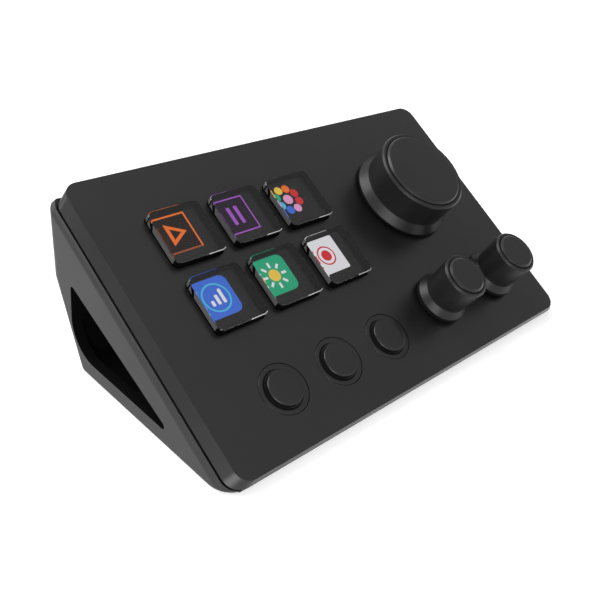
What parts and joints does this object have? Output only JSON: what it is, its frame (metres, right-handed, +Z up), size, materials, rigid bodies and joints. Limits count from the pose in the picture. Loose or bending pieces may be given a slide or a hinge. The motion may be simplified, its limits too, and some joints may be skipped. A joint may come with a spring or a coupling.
{
  "type": "macro keypad",
  "caption": "Wedge-shaped desk control pad with clear display keys, round push buttons and turning knobs on a sloping face, a deep hollow in each side and a rear cable inlet.",
  "frame": {"origin": "centre of the footprint, on the underside of the feet", "axes": "+X along the face towards the knobs, +Y to the rear, +Z up"},
  "size_m": [0.122, 0.065, 0.0423],
  "materials": {
    "housing_black": "fine matte texture",
    "face_black": "smooth matte",
    "clear_key": "clear and polished",
    "button_black": "smooth matte",
    "knob_black": "satin",
    "knob_cap_black": "satin",
    "switch_grey": "moulded",
    "shaft_metal": "turned",
    "board_green": "lacquered",
    "chip_black": "moulded",
    "display_glass": "polished",
    "mat_rubber": "matte",
    "inlet_steel": "drawn and plated",
    "inlet_black": "moulded",
    "screw_steel": "plated",
    "foot_rubber": "matte"
  },
  "bodies": {
    "base": {"housing": "housing_black", "face_cover": "face_black", "main_board": "board_green", "controller_chip": "chip_black", "display_panel": "display_glass", "key_mat": "mat_rubber", "button_switch_1": "switch_grey", "button_switch_2": "switch_grey", "button_switch_3": "switch_grey", "large_encoder": "switch_grey", "left_encoder": "switch_grey", "right_encoder": "switch_grey", "usb_board": "board_green", "usb_socket": "inlet_steel", "usb_tongue": "inlet_black", "board_screws": "screw_steel", "rubber_feet": "foot_rubber"},
    "display_key_1_body": {"display_key_1": "clear_key"},
    "display_key_2_body": {"display_key_2": "clear_key"},
    "display_key_3_body": {"display_key_3": "clear_key"},
    "display_key_4_body": {"display_key_4": "clear_key"},
    "display_key_5_body": {"display_key_5": "clear_key"},
    "display_key_6_body": {"display_key_6": "clear_key"},
    "push_button_1_body": {"push_button_1": "button_black"},
    "push_button_2_body": {"push_button_2": "button_black"},
    "push_button_3_body": {"push_button_3": "button_black"},
    "large_press_body": {"large_plunger": "shaft_metal"},
    "large_knob_body": {"large_shaft": "shaft_metal", "large_knob": "knob_black", "large_knob_cap": "knob_cap_black"},
    "left_press_body": {"left_plunger": "shaft_metal"},
    "left_knob_body": {"left_shaft": "shaft_metal", "left_knob": "knob_black", "left_knob_cap": "knob_cap_black"},
    "right_press_body": {"right_plunger": "shaft_metal"},
    "right_knob_body": {"right_shaft": "shaft_metal", "right_knob": "knob_black", "right_knob_cap": "knob_cap_black"}
  },
  "joints": [
    {"name": "display_key_1_press", "type": "slide", "parent": "base", "child": "display_key_1_body", "axis": [0, 0.5, -0.866], "range_m": [0, 0.0006], "stiffness_N_per_m": 400, "springref_m": -0.0005},
    {"name": "display_key_2_press", "type": "slide", "parent": "base", "child": "display_key_2_body", "axis": [0, 0.5, -0.866], "range_m": [0, 0.0006], "stiffness_N_per_m": 400, "springref_m": -0.0005},
    {"name": "display_key_3_press", "type": "slide", "parent": "base", "child": "display_key_3_body", "axis": [0, 0.5, -0.866], "range_m": [0, 0.0006], "stiffness_N_per_m": 400, "springref_m": -0.0005},
    {"name": "display_key_4_press", "type": "slide", "parent": "base", "child": "display_key_4_body", "axis": [0, 0.5, -0.866], "range_m": [0, 0.0006], "stiffness_N_per_m": 400, "springref_m": -0.0005},
    {"name": "display_key_5_press", "type": "slide", "parent": "base", "child": "display_key_5_body", "axis": [0, 0.5, -0.866], "range_m": [0, 0.0006], "stiffness_N_per_m": 400, "springref_m": -0.0005},
    {"name": "display_key_6_press", "type": "slide", "parent": "base", "child": "display_key_6_body", "axis": [0, 0.5, -0.866], "range_m": [0, 0.0006], "stiffness_N_per_m": 400, "springref_m": -0.0005},
    {"name": "push_button_1_press", "type": "slide", "parent": "base", "child": "push_button_1_body", "axis": [0, 0.5, -0.866], "range_m": [0, 0.0005], "stiffness_N_per_m": 400, "springref_m": -0.0005},
    {"name": "push_button_2_press", "type": "slide", "parent": "base", "child": "push_button_2_body", "axis": [0, 0.5, -0.866], "range_m": [0, 0.0005], "stiffness_N_per_m": 400, "springref_m": -0.0005},
    {"name": "push_button_3_press", "type": "slide", "parent": "base", "child": "push_button_3_body", "axis": [0, 0.5, -0.866], "range_m": [0, 0.0005], "stiffness_N_per_m": 400, "springref_m": -0.0005},
    {"name": "large_knob_press", "type": "slide", "parent": "base", "child": "large_press_body", "axis": [0, 0.5, -0.866], "range_m": [0, 0.0005], "stiffness_N_per_m": 800, "springref_m": -0.0012},
    {"name": "large_knob_turn", "type": "hinge", "parent": "large_press_body", "child": "large_knob_body", "pos_m": [0.03053, 0.00751, 0.0264], "axis": [0, -0.5, 0.866], "continuous": true},
    {"name": "left_knob_press", "type": "slide", "parent": "base", "child": "left_press_body", "axis": [0, 0.5, -0.866], "range_m": [0, 0.0005], "stiffness_N_per_m": 800, "springref_m": -0.0012},
    {"name": "left_knob_turn", "type": "hinge", "parent": "left_press_body", "child": "left_knob_body", "pos_m": [0.01856, -0.0189, 0.01115], "axis": [0, -0.5, 0.866], "continuous": true},
    {"name": "right_knob_press", "type": "slide", "parent": "base", "child": "right_press_body", "axis": [0, 0.5, -0.866], "range_m": [0, 0.0005], "stiffness_N_per_m": 800, "springref_m": -0.0012},
    {"name": "right_knob_turn", "type": "hinge", "parent": "right_press_body", "child": "right_knob_body", "pos_m": [0.04083, -0.0189, 0.01115], "axis": [0, -0.5, 0.866], "continuous": true}
  ]
}
